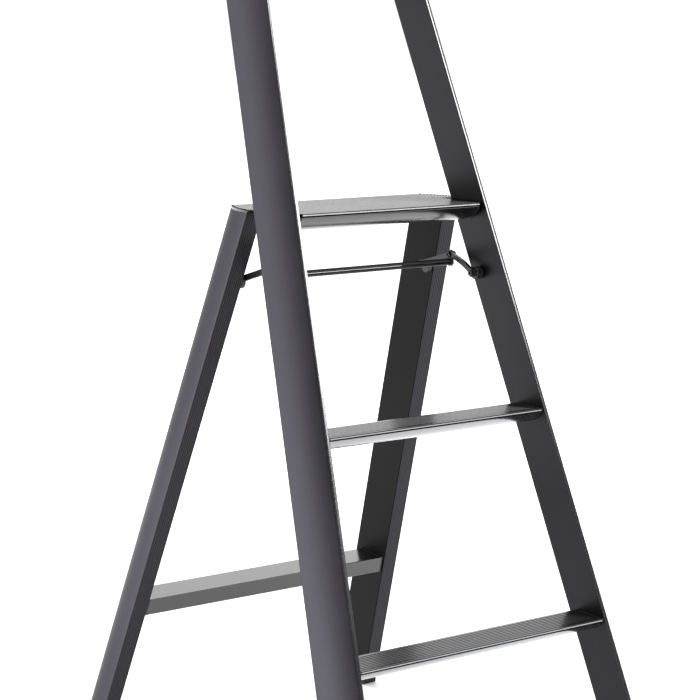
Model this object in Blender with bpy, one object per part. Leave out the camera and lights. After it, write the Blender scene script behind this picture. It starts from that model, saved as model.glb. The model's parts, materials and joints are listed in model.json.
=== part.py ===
"""Folding three-step ladder with a high handrail, as separate pieces.

Metres, +Z up. The ladder stands open and faces -Y, with its origin on the floor in the middle
of its footprint. The front frame leans back and carries two steps and the handrail. The rear
frame is the platform with the two rear legs, and it turns on two pins in the rails. A jointed
stay, with its elbow between the frames, holds the two frames apart.

Every long piece is one aluminium extrusion with a wing section: flat on one side, bowed on the
other, thin at one edge and thick at the other. The rails and steps are thin in front and thick
behind, and the legs and crossbar are the other way round, so the folded ladder is one lens.
"""
import math

import bmesh
import bpy
from mathutils import Vector

MM = 0.001
GAP = 0.3 * MM                       # clearance between pieces that touch
MERGE_DISTANCE = 1e-7                # between points that are one point
SMOOTH_ANGLE = math.radians(28)      # between faces that are shaded as one curve

# ---- driving dimensions -------------------------------------------------------------------------
STEP_RISE = 260 * MM                 # floor to step, step to step, step to platform
PLATFORM_TOP = 3 * STEP_RISE
HANDRAIL_TOP = 1092 * MM
OPEN_DEPTH = 764 * MM                # front of the front feet to back of the rear feet

RAIL_HALF_WIDTH = 212 * MM           # floor, middle of the ladder to a rail's flat inner face
RAIL_TAPER = 0.0887                  # sideways per metre of height
RAIL_LEAN = 0.385                    # backwards per metre of height
RAIL_DEPTH = 67.3 * MM               # along the section
RAIL_THIN = 5.0 * MM
RAIL_THICK = 23.7 * MM

LEG_HALF_WIDTH = 219.7 * MM
LEG_TAPER = 0.0987
LEG_LEAN = 0.391                     # forwards per metre of height
LEG_DEPTH = 68.5 * MM
LEG_THIN = 3 * MM
LEG_THICK = 24 * MM
LEG_FRONT = 689.3 * MM               # floor, front of the front feet to a leg's front face

STEP_DEPTH = 53 * MM                 # nose to the back of the tread
STEP_THIN = 3.5 * MM
STEP_THICK = 23.2 * MM
PLATFORM_THICK = 25 * MM
BAR_DEPTH = 60 * MM                  # of the crossbar's section
BAR_THICK = 25 * MM
NOSE_SETBACK = 2 * MM                # a step's nose, behind the rails' front edges

RAIL_WALL = 1.8 * MM
LEG_WALL = 1.2 * MM                  # thinner, because the leg's rear edge is only 3 mm thick
STEP_WALL = 2.0 * MM
CAP_PLATE = 2.2 * MM                 # of an end cap, between an extrusion and its neighbour
SPIGOT = 16 * MM                     # how far an end cap or corner goes into an extrusion

CROSSBAR_TOP = 226.4 * MM
CROSSBAR_SETBACK = 3 * MM            # behind the legs' front faces
CORNER_RADIUS = 26 * MM              # inside bend of a handrail corner
CORNER_STEPS = 8

FOOT_HEIGHT = 12 * MM
FOOT_LIP = 0.5 * MM                  # how far a foot stands out round its extrusion
FOOT_SPIGOT = 22 * MM
FRONT_Y = -OPEN_DEPTH / 2 + FOOT_LIP  # where the rails' front edges meet the floor

PLATFORM_HALF = 137 * MM             # of the box between the rails, without its caps
PLATFORM_WALL = 2.2 * MM
DECK = 3.4 * MM                      # plate that lies over the tops of the legs
DECK_OVERHANG = 0.6 * MM             # past the legs' bowed faces
CAVITY_FRONT = 9 * MM                # from the nose to the platform's front hollow
WEB_FRONT = 74 * MM                  # from the nose to the web between its two hollows
PLUG_DEPTH = 20 * MM                 # how far the platform's caps go into its hollows
PLUG_BITE = 1 * MM                   # how far a plug runs into its cap's plate, to join it
CAP_BEGIN = 4 * MM                   # from the nose to the front of the platform's caps
LEG_TOP = PLATFORM_TOP - DECK - GAP

# Joint axes, all along X, as (y, z)
HINGE = (FRONT_Y + 352 * MM, 766 * MM)
STAY_FRONT = (FRONT_Y + 318 * MM, 686 * MM)
STAY_ELBOW = (FRONT_Y + 366.7 * MM, 706 * MM)
STAY_REAR = (FRONT_Y + 437 * MM, 686 * MM)

# Pins, screws and the stay
PIN_RADIUS = 4 * MM
PIN_INNER = 12 * MM                  # from the end of the platform's box in to the hinge pin's end
PIN_OUTER = 13 * MM                  # from a rail's inner face out to the pin's other end
WASHER_RADIUS = 7.5 * MM
WASHER = 3 * MM
SCREW_RADIUS = 2.7 * MM
SCREW_LENGTH = 12 * MM               # into the end cap
SCREW_CLEAR = 1.2 * MM               # from the far side of the wall, which slopes, to a screw's head
HEAD_RADIUS = 5 * MM
HEAD_TOP_RADIUS = 4.5 * MM
HEAD_HEIGHT = 2.5 * MM
LEG_SCREW_DEPTH = 10 * MM            # from the end of the platform's box in to a leg screw's tip
HEAD_SCREW_DROP = 14 * MM            # under the platform's top, of the screws through the legs
HEAD_SCREW_OFFSETS = (16 * MM, 44 * MM)  # behind the legs' front faces
SPACER_MARGIN = (8 * MM, 9 * MM)     # of the wedge round those screws, along and up
STEP_SCREW = (32 * MM, 11 * MM)      # from the thin edge and top of a step or crossbar to its screw
HINGE_BLOCK = (14 * MM, 20 * MM)     # in front of the hinge pin, and both above and below it
DRILL_REACH = 4 * MM                 # of a drill, to either side of a wall's inner face
DRILL_END = 2 * MM                   # of a drill, past what it goes through
CAP_HOLE_END = 1 * MM                # of the holes in the platform's caps, past the hinge pin's end

FRONT_ARM_X = 135.9 * MM             # inner side of a front arm, which is the inner of the two
ARM_THICKNESS = 4.4 * MM
REAR_ARM_X = FRONT_ARM_X + ARM_THICKNESS + GAP
REAR_ARM_OUT = REAR_ARM_X + ARM_THICKNESS
FRONT_ARM_BOW = 3 * MM
FRONT_ARM_HALF = 3.3 * MM            # half the width of a front arm
FRONT_ARM_EYE = 5.5 * MM
REAR_ARM_HALF = 4.2 * MM
REAR_ARM_EYE = 5.2 * MM
ELBOW_EYE = 4.75 * MM                # of both arms
PLATE_RISE = 1.7 * MM                # from the elbow to the middle of the end plate's upper round
PLATE_DROP = 10.9 * MM               # and down to the middle of its lower round
PLATE_SHIFT = 0.8 * MM               # and forward to the middle of its lower round
ROD_RADIUS = 2.2 * MM
ROD_END_RADIUS = 1.5 * MM            # of a rod's ends, in the end plates
ROD_SPACING = 4.75 * MM
UPPER_ROD = (STAY_ELBOW[0] - 1.7 * MM, STAY_ELBOW[1] - 7.1 * MM)
LOWER_ROD = (UPPER_ROD[0], UPPER_ROD[1] - ROD_SPACING)
BOSS_RADIUS = 8.5 * MM
BRACKET_RADIUS = 8.5 * MM
BRACKET_FORWARD = 4.9 * MM           # across the leg, from the stay's rear pivot to a bracket's middle
BRACKET_DROP = 1.5 * MM              # between the middles of a bracket's two rounds
PIVOT_HEAD_RADIUS = 4.3 * MM
PIVOT_HEAD_TOP = 3.6 * MM
PIVOT_HEAD_HEIGHT = 2.2 * MM
STAY_SCREW_REACH = 8 * MM            # past the rail's inner face

ARC_STEPS = 12                       # of a bowed face
EYE_STEPS = 8                        # of half a round
ROUND_STEPS = 20                     # of a pin, screw or hole
CROWN_STEPS = 20                     # across the bar, to find its highest line
EYE_CLEAR = 1.15                     # of an eye's radius: a link's edges stop there
SIDES = (("left", -1), ("right", 1))

# Sections, as keywords for wing() and bow()
RAIL = dict(depth=RAIL_DEPTH, thin=RAIL_THIN, thick=RAIL_THICK)
LEG = dict(depth=LEG_DEPTH, thin=LEG_THIN, thick=LEG_THICK, thick_first=True)
STEP = dict(depth=STEP_DEPTH, thin=STEP_THIN, thick=STEP_THICK, rake=RAIL_LEAN)
BAR = dict(depth=BAR_DEPTH, thin=STEP_THIN, thick=BAR_THICK, rake=RAIL_LEAN)
BAR_SLOPE = math.atan(RAIL_LEAN)     # of the handrail bar's section, which leans as the rails do
PLATFORM_BACK = FRONT_Y + LEG_FRONT - LEG_LEAN * PLATFORM_TOP + LEG_DEPTH / math.cos(math.atan(LEG_LEAN))


# ---- scene and materials ------------------------------------------------------------------------
def clear_scene():
    for item in list(bpy.data.objects):
        bpy.data.objects.remove(item)


def material(name, colour, roughness, metallic):
    made = bpy.data.materials.new(name)
    made.use_nodes = True
    shader = made.node_tree.nodes["Principled BSDF"]
    shader.inputs["Base Color"].default_value = (*colour, 1)
    shader.inputs["Roughness"].default_value = roughness
    shader.inputs["Metallic"].default_value = metallic
    return made


def make_materials():
    return {
        "anodised": material("anodised", (0.10, 0.10, 0.105), 0.35, 0.9),
        "tread": material("tread", (0.16, 0.16, 0.16), 0.35, 0.9),
        "plastic": material("plastic", (0.02, 0.02, 0.02), 0.45, 0.0),
        "rubber": material("rubber", (0.035, 0.035, 0.035), 0.8, 0.0),
        "cast": material("cast", (0.22, 0.22, 0.23), 0.5, 0.9),
        "steel": material("steel", (0.45, 0.45, 0.46), 0.3, 1.0),
    }


def add_mesh(name, bm, slot):
    """Turn a bmesh into a named object with outward faces and smooth round sides."""
    bmesh.ops.remove_doubles(bm, verts=bm.verts, dist=MERGE_DISTANCE)
    bmesh.ops.recalc_face_normals(bm, faces=bm.faces)
    mesh = bpy.data.meshes.new(name)
    bm.to_mesh(mesh)
    bm.free()
    mesh.materials.append(MATERIALS[slot])
    mesh.shade_smooth()
    mesh.set_sharp_from_angle(angle=SMOOTH_ANGLE)
    piece = bpy.data.objects.new(name, mesh)
    bpy.context.scene.collection.objects.link(piece)
    return piece


# ---- planes, frames and sections ----------------------------------------------------------------
def plane(point, normal):
    return Vector(point), Vector(normal).normalized()


def level(z):
    return plane((0, 0, z), (0, 0, 1))


def at_x(x):
    return plane((x, 0, 0), (1, 0, 0))


class Frame:
    """A place to sweep a flat section from: u and v span the section, w is the way it runs."""

    def __init__(self, origin, u, v, w):
        self.origin = Vector(origin)
        self.u = Vector(u).normalized()
        self.v = Vector(v).normalized()
        self.w = Vector(w).normalized()

    def at(self, a, b, cut):
        """The section's point (a, b), moved along w onto a cutting plane."""
        start = self.origin + self.u * a + self.v * b
        point, normal = cut
        return start + self.w * ((point - start).dot(normal) / self.w.dot(normal))

    def ring(self, outline, cut):
        return [self.at(a, b, cut) for a, b in outline]


def leaning_frame(side, half_width, taper, y_floor, lean):
    """The frame of a rail or leg: u runs back along its flat inner face, v points outwards."""
    w = Vector((-side * taper, lean, 1)).normalized()
    back = Vector((0, 1, 0))
    u = (back - w * back.dot(w)).normalized()
    v = w.cross(u)
    if v.x * side < 0:
        v.negate()
    return Frame((side * half_width, y_floor, 0), u, v, w)


def rail_frame(side):
    return leaning_frame(side, RAIL_HALF_WIDTH, RAIL_TAPER, FRONT_Y, RAIL_LEAN)


def leg_frame(side):
    return leaning_frame(side, LEG_HALF_WIDTH, LEG_TAPER, FRONT_Y + LEG_FRONT, -LEG_LEAN)


def inner_plane(frame, distance):
    """A plane parallel to a rail's or leg's inner face, this far towards the ladder's middle."""
    return plane(frame.origin - frame.v * distance, frame.v)


def inner_x(frame, z):
    """How far out a rail's or leg's inner face is at height z (the same at any y)."""
    return abs(frame.origin.x) - abs(frame.w.x / frame.w.z) * z


def bow(a, depth, thin, thick):
    """Thickness of a wing section at a from its thin edge: an arc, flat at the thick edge."""
    radius = (depth ** 2 + (thick - thin) ** 2) / (2 * (thick - thin))
    return thick - (radius - math.sqrt(radius ** 2 - (depth - a) ** 2))


def wing(depth, thin, thick, inset=0.0, rake=0.0, thick_first=False):
    """A wing section. The flat side is b = 0 and the thick end is raked by rake * b.

    The result always has the same number of points, so that two of them can be bridged.
    """
    foot = depth - rake * thick
    points = [(inset, inset), (depth - inset * (1 + rake), inset)]
    points.append((foot - inset, thick - inset))
    start = foot - inset
    for i in range(1, ARC_STEPS + 1):
        a = start + (inset - start) * i / ARC_STEPS
        points.append((a, bow(a, foot, thin, thick) - inset))
    if thick_first:
        points = [(depth - a, b) for a, b in points]
    return points


def circle(a, b, radius):
    turn = 2 * math.pi / ROUND_STEPS
    points = []
    for i in range(ROUND_STEPS):
        points.append((a + radius * math.cos(i * turn), b + radius * math.sin(i * turn)))
    return points


# ---- solids -------------------------------------------------------------------------------------
def loft(name, rings, slot, closed=False):
    """A solid through equal rings: capped at both ends, or closed on itself for a tube."""
    bm = bmesh.new()
    loops = [[bm.verts.new(point) for point in ring] for ring in rings]
    pairs = list(zip(loops, loops[1:]))
    if closed:
        pairs.append((loops[-1], loops[0]))
    else:
        bm.faces.new(loops[0])
        bm.faces.new(loops[-1])
    for low, high in pairs:
        count = len(low)
        for i in range(count):
            j = (i + 1) % count
            bm.faces.new((low[i], low[j], high[j], high[i]))
    return add_mesh(name, bm, slot)


def tube(name, frame, outer, inner, start, end, slot):
    """A hollow extrusion, open at both ends."""
    rings = [frame.ring(outer, start), frame.ring(outer, end)]
    rings += [frame.ring(inner, end), frame.ring(inner, start)]
    return loft(name, rings, slot, closed=True)


def prism(name, frame, outline, start, end, slot, holes=()):
    """A solid of any outline between two planes, with holes right through it."""
    bm = bmesh.new()
    ends = ([], [])
    for points in (outline, *holes):
        loops = [[bm.verts.new(p) for p in frame.ring(points, cut)] for cut in (start, end)]
        count = len(points)
        for i in range(count):
            j = (i + 1) % count
            bm.faces.new((loops[0][i], loops[0][j], loops[1][j], loops[1][i]))
        for edges, loop in zip(ends, loops):
            edges.extend(bm.edges.get((loop[i], loop[(i + 1) % count])) for i in range(count))
    for edges in ends:
        bmesh.ops.triangle_fill(bm, use_beauty=True, edges=edges)
    return add_mesh(name, bm, slot)


def turned(name, y, z, profile, slot):
    """A round piece about an X axis. The profile is a list of (x, radius)."""
    frame = Frame((0, y, z), (0, 1, 0), (0, 0, 1), (1, 0, 0))
    rings = [frame.ring(circle(0, 0, radius), at_x(x)) for x, radius in profile]
    return loft(name, rings, slot)


def boolean(piece, cutter, operation):
    """Cut or join with a helper, which is hidden and left out of the build."""
    cutter.hide_render = True
    cutter.display_type = "WIRE"
    change = piece.modifiers.new(operation.title(), "BOOLEAN")
    change.operation = operation
    change.solver = "EXACT"
    change.object = cutter


def drill(piece, spot, x_from, x_to, radius):
    """Drill along X at spot, which is (y, z)."""
    low, high = sorted((x_from, x_to))
    helper = turned(piece.name + "_drill", *spot, [(low, radius), (high, radius)], "steel")
    boolean(piece, helper, "DIFFERENCE")


def drill_wall(piece, frame, side, spot, radius):
    """Drill through the inner wall of a rail or leg."""
    x = inner_x(frame, spot[1])
    drill(piece, spot, side * (x - DRILL_REACH), side * (x + DRILL_REACH), radius + GAP)


def headed(name, side, spot, tip, head):
    """A screw along X: its tip towards the ladder's middle and its head in an extrusion."""
    profile = [(side * tip, SCREW_RADIUS), (side * head, SCREW_RADIUS)]
    profile += [(side * head, HEAD_RADIUS), (side * (head + HEAD_HEIGHT), HEAD_TOP_RADIUS)]
    turned(name, *spot, profile, "steel")


def along_x(y, z):
    """A frame for plates that are cut from a drawing in the YZ plane."""
    return Frame((0, y, z), (0, 1, 0), (0, 0, 1), (1, 0, 0))


# ---- front frame --------------------------------------------------------------------------------
def rail_top():
    """Where the rails end, so that the highest line of the bowed bar is at HANDRAIL_TOP."""
    samples = [i / CROWN_STEPS * RAIL_DEPTH for i in range(CROWN_STEPS + 1)]
    crown = max(bow(a, **RAIL) * math.cos(BAR_SLOPE) - a * math.sin(BAR_SLOPE) for a in samples)
    bend = CORNER_RADIUS * (math.cos(BAR_SLOPE) - abs(rail_frame(1).v.z))
    return HANDRAIL_TOP - crown - bend


def step_y(z):
    return FRONT_Y + RAIL_LEAN * z + NOSE_SETBACK


def step_screw_place(z):
    """Middle of a step's spigot, as (y, z), where the screw through the rail's wall goes."""
    return step_y(z) + STEP_SCREW[0], z - STEP_SCREW[1]


def make_rails():
    for name, side in SIDES:
        frame = rail_frame(side)
        end = plane(frame.at(0, 0, level(rail_top())), frame.w)
        hollow = wing(inset=RAIL_WALL, **RAIL)
        piece = tube(f"rail_{name}", frame, wing(**RAIL), hollow, level(FOOT_HEIGHT), end, "anodised")
        for z in (STEP_RISE, 2 * STEP_RISE):
            drill_wall(piece, frame, side, step_screw_place(z), SCREW_RADIUS)
        drill_wall(piece, frame, side, HINGE, PIN_RADIUS)
        drill_wall(piece, frame, side, STAY_FRONT, SCREW_RADIUS)


def corner_frames(side):
    """Frames that turn from the top of a rail round to the end of the handrail bar."""
    rail = rail_frame(side)
    origin = rail.at(0, 0, plane(rail.at(0, 0, level(rail_top())), rail.w))
    bar_w = Vector((-side, 0, 0))
    bar_u = Vector((0, math.cos(BAR_SLOPE), -math.sin(BAR_SLOPE)))
    bar_v = Vector((0, math.sin(BAR_SLOPE), math.cos(BAR_SLOPE)))
    turn = math.acos(rail.w.dot(bar_w))
    frames = []
    centre = origin - rail.v * CORNER_RADIUS
    for i in range(CORNER_STEPS + 1):
        t = i / CORNER_STEPS
        v = (rail.v * math.sin((1 - t) * turn) + bar_v * math.sin(t * turn)).normalized()
        u = rail.u.lerp(bar_u, t)
        u = (u - v * u.dot(v)).normalized()
        w = u.cross(v)
        if w.dot(rail.w.lerp(bar_w, t)) < 0:
            w.negate()
        frames.append(Frame(centre + v * CORNER_RADIUS, u, v, w))
    return frames


def own_plane(frame, along=0.0):
    return plane(frame.origin + frame.w * along, frame.w)


def make_handrail():
    spigot = wing(inset=RAIL_WALL + GAP, **RAIL)
    outer = wing(**RAIL)
    for name, side in SIDES:
        frames = corner_frames(side)
        first, last = frames[0], frames[-1]
        rings = [first.ring(spigot, own_plane(first, -SPIGOT)), first.ring(spigot, own_plane(first, GAP))]
        rings.append(first.ring(outer, own_plane(first, GAP)))
        rings += [frame.ring(outer, own_plane(frame)) for frame in frames[1:]]
        rings += [last.ring(spigot, own_plane(last)), last.ring(spigot, own_plane(last, SPIGOT))]
        loft(f"handrail_corner_{name}", rings, "plastic")
    right = corner_frames(1)[-1]
    half = right.origin.x - GAP
    hollow = wing(inset=RAIL_WALL, **RAIL)
    tube("handrail_bar", right, outer, hollow, at_x(half), at_x(-half), "anodised")


def step_frame(z):
    return Frame((0, step_y(z), z), (0, 1, 0), (0, 0, -1), (1, 0, 0))


def make_step(name, caps, section, frame, neighbour, wall, screw):
    """A step or crossbar, and its end caps: spigots into it, and plates against its neighbours.

    neighbour gives the frame of the rail or leg on a side, and wall its wall's thickness.
    """
    outer = wing(**section)
    spigot = wing(inset=STEP_WALL + GAP, **section)
    cuts = {}
    for end, side in SIDES:
        beside = neighbour(side)
        face, plate = inner_plane(beside, GAP), inner_plane(beside, GAP + CAP_PLATE)
        tip = inner_plane(beside, GAP + CAP_PLATE + SPIGOT)
        cuts[side] = inner_plane(beside, 2 * GAP + CAP_PLATE)
        rings = [frame.ring(outer, face), frame.ring(outer, plate)]
        rings += [frame.ring(spigot, plate), frame.ring(spigot, tip)]
        cap = loft(f"{caps}_cap_{end}", rings, "plastic")
        x = inner_x(beside, screw[1])
        inside, outside = x - SCREW_LENGTH - DRILL_END, x + DRILL_REACH
        drill(cap, screw, side * inside, side * outside, SCREW_RADIUS + GAP)
        headed(f"{caps}_screw_{end}", side, screw, x - SCREW_LENGTH, x + wall + SCREW_CLEAR)
    tube(name, frame, outer, wing(inset=STEP_WALL, **section), cuts[-1], cuts[1], "tread")


def make_foot(name, frame, section, wall):
    """A foot: a pad on the floor, a little larger than the extrusion, and a spigot up into it."""
    outer = wing(**section)
    pad = wing(inset=-FOOT_LIP, **section)
    spigot = wing(inset=wall + GAP, **section)
    top = level(FOOT_HEIGHT - GAP)
    rings = [frame.ring(pad, level(0)), frame.ring(pad, level(FOOT_HEIGHT / 2))]
    rings += [frame.ring(outer, top), frame.ring(spigot, top)]
    rings.append(frame.ring(spigot, level(FOOT_HEIGHT + FOOT_SPIGOT)))
    loft(name, rings, "rubber")


# ---- hinge between the frames -------------------------------------------------------------------
def make_hinge(name, side):
    """The block in the rail that carries the pin, the pin, and the washer beside the platform."""
    rail = rail_frame(side)
    x = inner_x(rail, HINGE[1])
    depth_at_hinge = (HINGE[0] - FRONT_Y - RAIL_LEAN * HINGE[1]) / rail.u.y
    clear = RAIL_WALL + GAP
    low, high = depth_at_hinge - HINGE_BLOCK[0], RAIL_DEPTH - clear
    block = [(low, clear), (high, clear)]
    for a in (high, (low + high) / 2, low):
        block.append((a, bow(a, **RAIL) - clear))
    middle = rail.at(0, 0, level(HINGE[1]))
    start = plane(middle - rail.w * HINGE_BLOCK[1], rail.w)
    end = plane(middle + rail.w * HINGE_BLOCK[1], rail.w)
    piece = prism(f"hinge_block_{name}", rail, block, start, end, "cast")
    pin_end = x + PIN_OUTER
    drill(piece, HINGE, side * (x - DRILL_REACH), side * (pin_end + DRILL_END), PIN_RADIUS + GAP)
    profile = [(side * (PLATFORM_HALF - PIN_INNER), PIN_RADIUS), (side * pin_end, PIN_RADIUS)]
    turned(f"hinge_pin_{name}", *HINGE, profile, "steel")
    washer = circle(0, 0, WASHER_RADIUS)
    hole = circle(0, 0, PIN_RADIUS + GAP)
    face = PLATFORM_HALF + CAP_PLATE + 2 * GAP
    start, end = at_x(side * face), at_x(side * (face + WASHER))
    prism(f"hinge_washer_{name}", along_x(*HINGE), washer, start, end, "plastic", [hole])


# ---- platform and rear frame --------------------------------------------------------------------
def platform_outline(top=0.0, wall=0.0, begin=0.0, finish=None):
    """The platform's side view, as (a, b) from its nose: the step's nose with a long flat tail."""
    foot = STEP_DEPTH - RAIL_LEAN * PLATFORM_THICK
    if finish is None:
        finish = PLATFORM_BACK - step_y(PLATFORM_TOP) - wall
    points = [(begin, top), (finish, top), (finish, PLATFORM_THICK - wall)]
    if begin >= foot:
        return points + [(begin, PLATFORM_THICK - wall)]
    for i in range(ARC_STEPS + 1):
        a = foot + (begin - foot) * i / ARC_STEPS
        points.append((a, bow(a, foot, STEP_THIN, PLATFORM_THICK) - wall))
    return points


def platform_cavities(gap=0.0):
    """The two hollows either side of the web, or with a gap the plugs that go into them."""
    top, wall = DECK + gap, PLATFORM_WALL + gap
    front = platform_outline(top, wall, begin=CAVITY_FRONT + gap, finish=WEB_FRONT - gap)
    rear = platform_outline(top, wall, begin=WEB_FRONT + PLATFORM_WALL + gap)
    return front, rear


def leg_outer_x(y, z):
    """How far out the bowed face of a leg is, at a place behind its front face."""
    frame = leg_frame(1)
    a = (y - leg_front(z)) * abs(frame.u.y)
    a = min(max(a, 0.0), LEG_DEPTH)
    return inner_x(frame, z) + bow(LEG_DEPTH - a, LEG_DEPTH, LEG_THIN, LEG_THICK)


def leg_front(z):
    return FRONT_Y + LEG_FRONT - LEG_LEAN * z


def deck_plan():
    """The plan of the plate over the legs: straight in front and behind, bowed at the sides."""
    front = leg_front(PLATFORM_TOP)
    side = []
    for i in range(ARC_STEPS + 1):
        y = front + (PLATFORM_BACK - front) * i / ARC_STEPS
        side.append((leg_outer_x(y, PLATFORM_TOP) + DECK_OVERHANG, y))
    return side + [(-x, y) for x, y in reversed(side)]


def make_platform():
    frame = step_frame(PLATFORM_TOP)
    ends = at_x(-PLATFORM_HALF), at_x(PLATFORM_HALF)
    piece = prism("platform", frame, platform_outline(), *ends, "tread", platform_cavities())
    flat = Frame((0, 0, PLATFORM_TOP), (1, 0, 0), (0, 1, 0), (0, 0, 1))
    low, high = level(PLATFORM_TOP - DECK), level(PLATFORM_TOP)
    boolean(piece, prism("platform_deck", flat, deck_plan(), low, high, "tread"), "UNION")
    for name, side in SIDES:
        make_platform_cap(name, side, frame)


def make_platform_cap(name, side, frame):
    """A cap over the end of the platform's box, with a plug in each of its hollows."""
    face = PLATFORM_HALF + GAP
    outside = face + CAP_PLATE + DRILL_END
    plate = at_x(side * face), at_x(side * (face + CAP_PLATE))
    outline = [(a, max(b, DECK + GAP)) for a, b in platform_outline(begin=CAP_BEGIN)]
    cap = prism(f"platform_cap_{name}", frame, outline, *plate, "plastic")
    cuts = at_x(side * (PLATFORM_HALF - PLUG_DEPTH)), at_x(side * (face + PLUG_BITE))
    for label, plug in zip(("front", "rear"), platform_cavities(GAP)):
        boolean(cap, prism(f"{cap.name}_{label}_plug", frame, plug, *cuts, "plastic"), "UNION")
    inside = PLATFORM_HALF - PIN_INNER - CAP_HOLE_END
    drill(cap, HINGE, side * inside, side * outside, PIN_RADIUS + GAP)
    for spot in head_screws():
        drill(cap, spot, side * inside, side * outside, SCREW_RADIUS + GAP)


def head_screws():
    """Where the two screws on each side go through a leg's inner wall into the platform's cap."""
    height = PLATFORM_TOP - HEAD_SCREW_DROP
    return [(leg_front(height) + offset, height) for offset in HEAD_SCREW_OFFSETS]


def make_legs():
    for name, side in SIDES:
        frame = leg_frame(side)
        start, end = level(FOOT_HEIGHT), level(LEG_TOP)
        hollow = wing(inset=LEG_WALL, **LEG)
        piece = tube(f"rear_leg_{name}", frame, wing(**LEG), hollow, start, end, "anodised")
        for spot in (*head_screws(), crossbar_screw_place()):
            drill_wall(piece, frame, side, spot, SCREW_RADIUS)
        for number, spot in enumerate(head_screws(), 1):
            head = inner_x(frame, spot[1]) + LEG_WALL + SCREW_CLEAR
            headed(f"leg_screw_{number}_{name}", side, spot, PLATFORM_HALF - LEG_SCREW_DEPTH, head)
        make_spacer(name, side)


def make_spacer(name, side):
    """The wedge between a leg's sloping inner face and the platform's upright cap."""
    (y_front, z), (y_back, _) = head_screws()
    front, back = y_front - SPACER_MARGIN[0], y_back + SPACER_MARGIN[0]
    low, high = z - SPACER_MARGIN[1], z + SPACER_MARGIN[1]
    outline = [(front, low), (back, low), (back, high), (front, high)]
    holes = [circle(y, z, SCREW_RADIUS + GAP) for y in (y_front, y_back)]
    start = at_x(side * (PLATFORM_HALF + 2 * GAP + CAP_PLATE))
    end = inner_plane(leg_frame(side), GAP)
    prism(f"leg_spacer_{name}", along_x(0, 0), outline, start, end, "cast", holes)


def crossbar_frame():
    """The crossbar is a step turned round: its thick edge is in front, along the legs' faces."""
    y = leg_front(CROSSBAR_TOP) + CROSSBAR_SETBACK + BAR_DEPTH
    return Frame((0, y, CROSSBAR_TOP), (0, -1, 0), (0, 0, -1), (1, 0, 0))


def crossbar_screw_place():
    return crossbar_frame().origin.y - STEP_SCREW[0], CROSSBAR_TOP - STEP_SCREW[1]


# ---- stay ---------------------------------------------------------------------------------------
def half_round(centre, radius, heading):
    """Half a circle round a centre, which is (y, z), on the side that heading points to."""
    points = []
    for i in range(EYE_STEPS + 1):
        angle = heading + math.pi * (i / EYE_STEPS - 0.5)
        points.append((centre[0] + radius * math.cos(angle), centre[1] + radius * math.sin(angle)))
    return points


def beyond(points, centre, radius):
    """Those of the points that are clear of an eye."""
    return [point for point in points if math.dist(point, centre) > radius * EYE_CLEAR]


def link_outline(start, end, bend, half_width, eye_start, eye_end):
    """A link between two eyes, as (y, z): a strip that bows upwards by bend, with round ends."""
    along = Vector(end) - Vector(start)
    across = Vector((-along.y, along.x)).normalized()
    heading = math.atan2(along.y, along.x)
    low, high = [], []
    for i in range(1, EYE_STEPS):
        t = i / EYE_STEPS
        middle = Vector(start) + along * t + across * (bend * 4 * t * (1 - t))
        low.append(tuple(middle - across * half_width))
        high.append(tuple(middle + across * half_width))
    low, high = [beyond(beyond(edge, start, eye_start), end, eye_end) for edge in (low, high)]
    far_end = half_round(end, eye_end, heading)
    near_end = half_round(start, eye_start, heading + math.pi)
    return far_end + high[::-1] + near_end + low


def end_plate():
    """The upright plate at the elbow, with the elbow's eye above and the two rods' ends below."""
    upper = STAY_ELBOW[0], STAY_ELBOW[1] + PLATE_RISE
    lower = STAY_ELBOW[0] - PLATE_SHIFT, STAY_ELBOW[1] - PLATE_DROP
    return half_round(upper, ELBOW_EYE, math.pi / 2) + half_round(lower, ELBOW_EYE, -math.pi / 2)


def bracket_outline():
    """A rounded block beside the stay's rear pivot, which reaches nearly to the leg's front face."""
    lean = math.atan2(1, -LEG_LEAN)
    along = Vector((math.cos(lean), math.sin(lean)))
    forward = Vector((-along.y, along.x))
    upper = Vector(STAY_REAR) + forward * BRACKET_FORWARD
    lower = upper - along * BRACKET_DROP
    return half_round(upper, BRACKET_RADIUS, lean) + half_round(lower, BRACKET_RADIUS, lean + math.pi)


def pivot(name, side, spot, head, tip):
    """A pivot screw along X: its flat head towards the middle, and its shank out to the tip."""
    profile = [(side * (head - PIVOT_HEAD_HEIGHT), PIVOT_HEAD_TOP), (side * head, PIVOT_HEAD_RADIUS)]
    profile += [(side * head, SCREW_RADIUS), (side * tip, SCREW_RADIUS)]
    turned(name, *spot, profile, "steel")


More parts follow.
